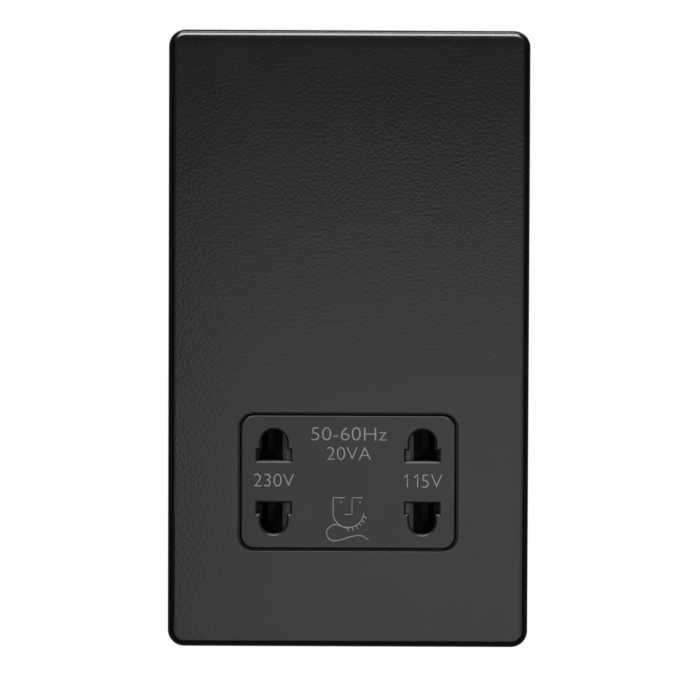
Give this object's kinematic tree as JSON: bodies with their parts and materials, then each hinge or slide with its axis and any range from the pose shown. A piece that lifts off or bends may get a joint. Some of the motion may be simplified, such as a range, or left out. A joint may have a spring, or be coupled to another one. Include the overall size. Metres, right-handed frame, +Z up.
{
  "type": "shaver socket",
  "caption": "Flush dual-voltage shaver supply unit: flat black metal plate, moulded insert with shaped pin openings, sliding interlock, sprung contacts and transformer case.",
  "frame": {"origin": "centre of the two fixing slots, on the plane of the wall", "axes": "+X to the right seen from the front, +Y into the wall, +Z up; the front faces -Y"},
  "size_m": [0.087, 0.0437, 0.1488],
  "materials": {
    "black_plate": "textured satin powder coat",
    "black_insert": "fine satin",
    "grey_slider": "satin",
    "frame_moulding": "satin",
    "block_moulding": "satin",
    "case_moulding": "satin",
    "bronze": "bright",
    "brass": "bright",
    "zinc_steel": "bright zinc",
    "spring_steel": "bright",
    "core_steel": "dull laminated",
    "bobbin_nylon": "satin",
    "copper": "enamelled",
    "tape": "film",
    "cutout_case": "satin",
    "brown_wire": "satin",
    "blue_wire": "satin",
    "red_wire": "satin",
    "white_wire": "satin",
    "black_wire": "satin"
  },
  "bodies": {
    "unit": {"cover_plate": "black_plate", "socket_insert": "black_insert", "mounting_frame": "frame_moulding", "contact_block": "block_moulding", "rear_housing": "case_moulding", "contact_230_upper": "bronze", "contact_115_upper": "bronze", "common_contact": "bronze", "terminal_live": "brass", "terminal_neutral": "brass", "terminal_earth": "brass", "housing_screws": "zinc_steel", "terminal_screws": "zinc_steel", "earth_strap": "bronze", "centring_spring_left": "spring_steel", "centring_spring_right": "spring_steel", "e_core": "core_steel", "i_core": "core_steel", "core_clamp": "zinc_steel", "bobbin": "bobbin_nylon", "primary_winding": "copper", "secondary_winding": "copper", "winding_tape": "tape", "overload_cutout": "cutout_case", "wire_live": "brown_wire", "wire_primary": "brown_wire", "wire_neutral": "blue_wire", "wire_230": "red_wire", "wire_115": "white_wire", "wire_common": "black_wire"},
    "slider": {"interlock_slider": "grey_slider"}
  },
  "joints": [
    {"name": "interlock_slide", "type": "slide", "parent": "unit", "child": "slider", "axis": [1, 0, 0], "range_m": [-0.003, 0.003], "stiffness_N_per_m": 300, "deforming": ["centring_spring_left", "centring_spring_right"]}
  ]
}
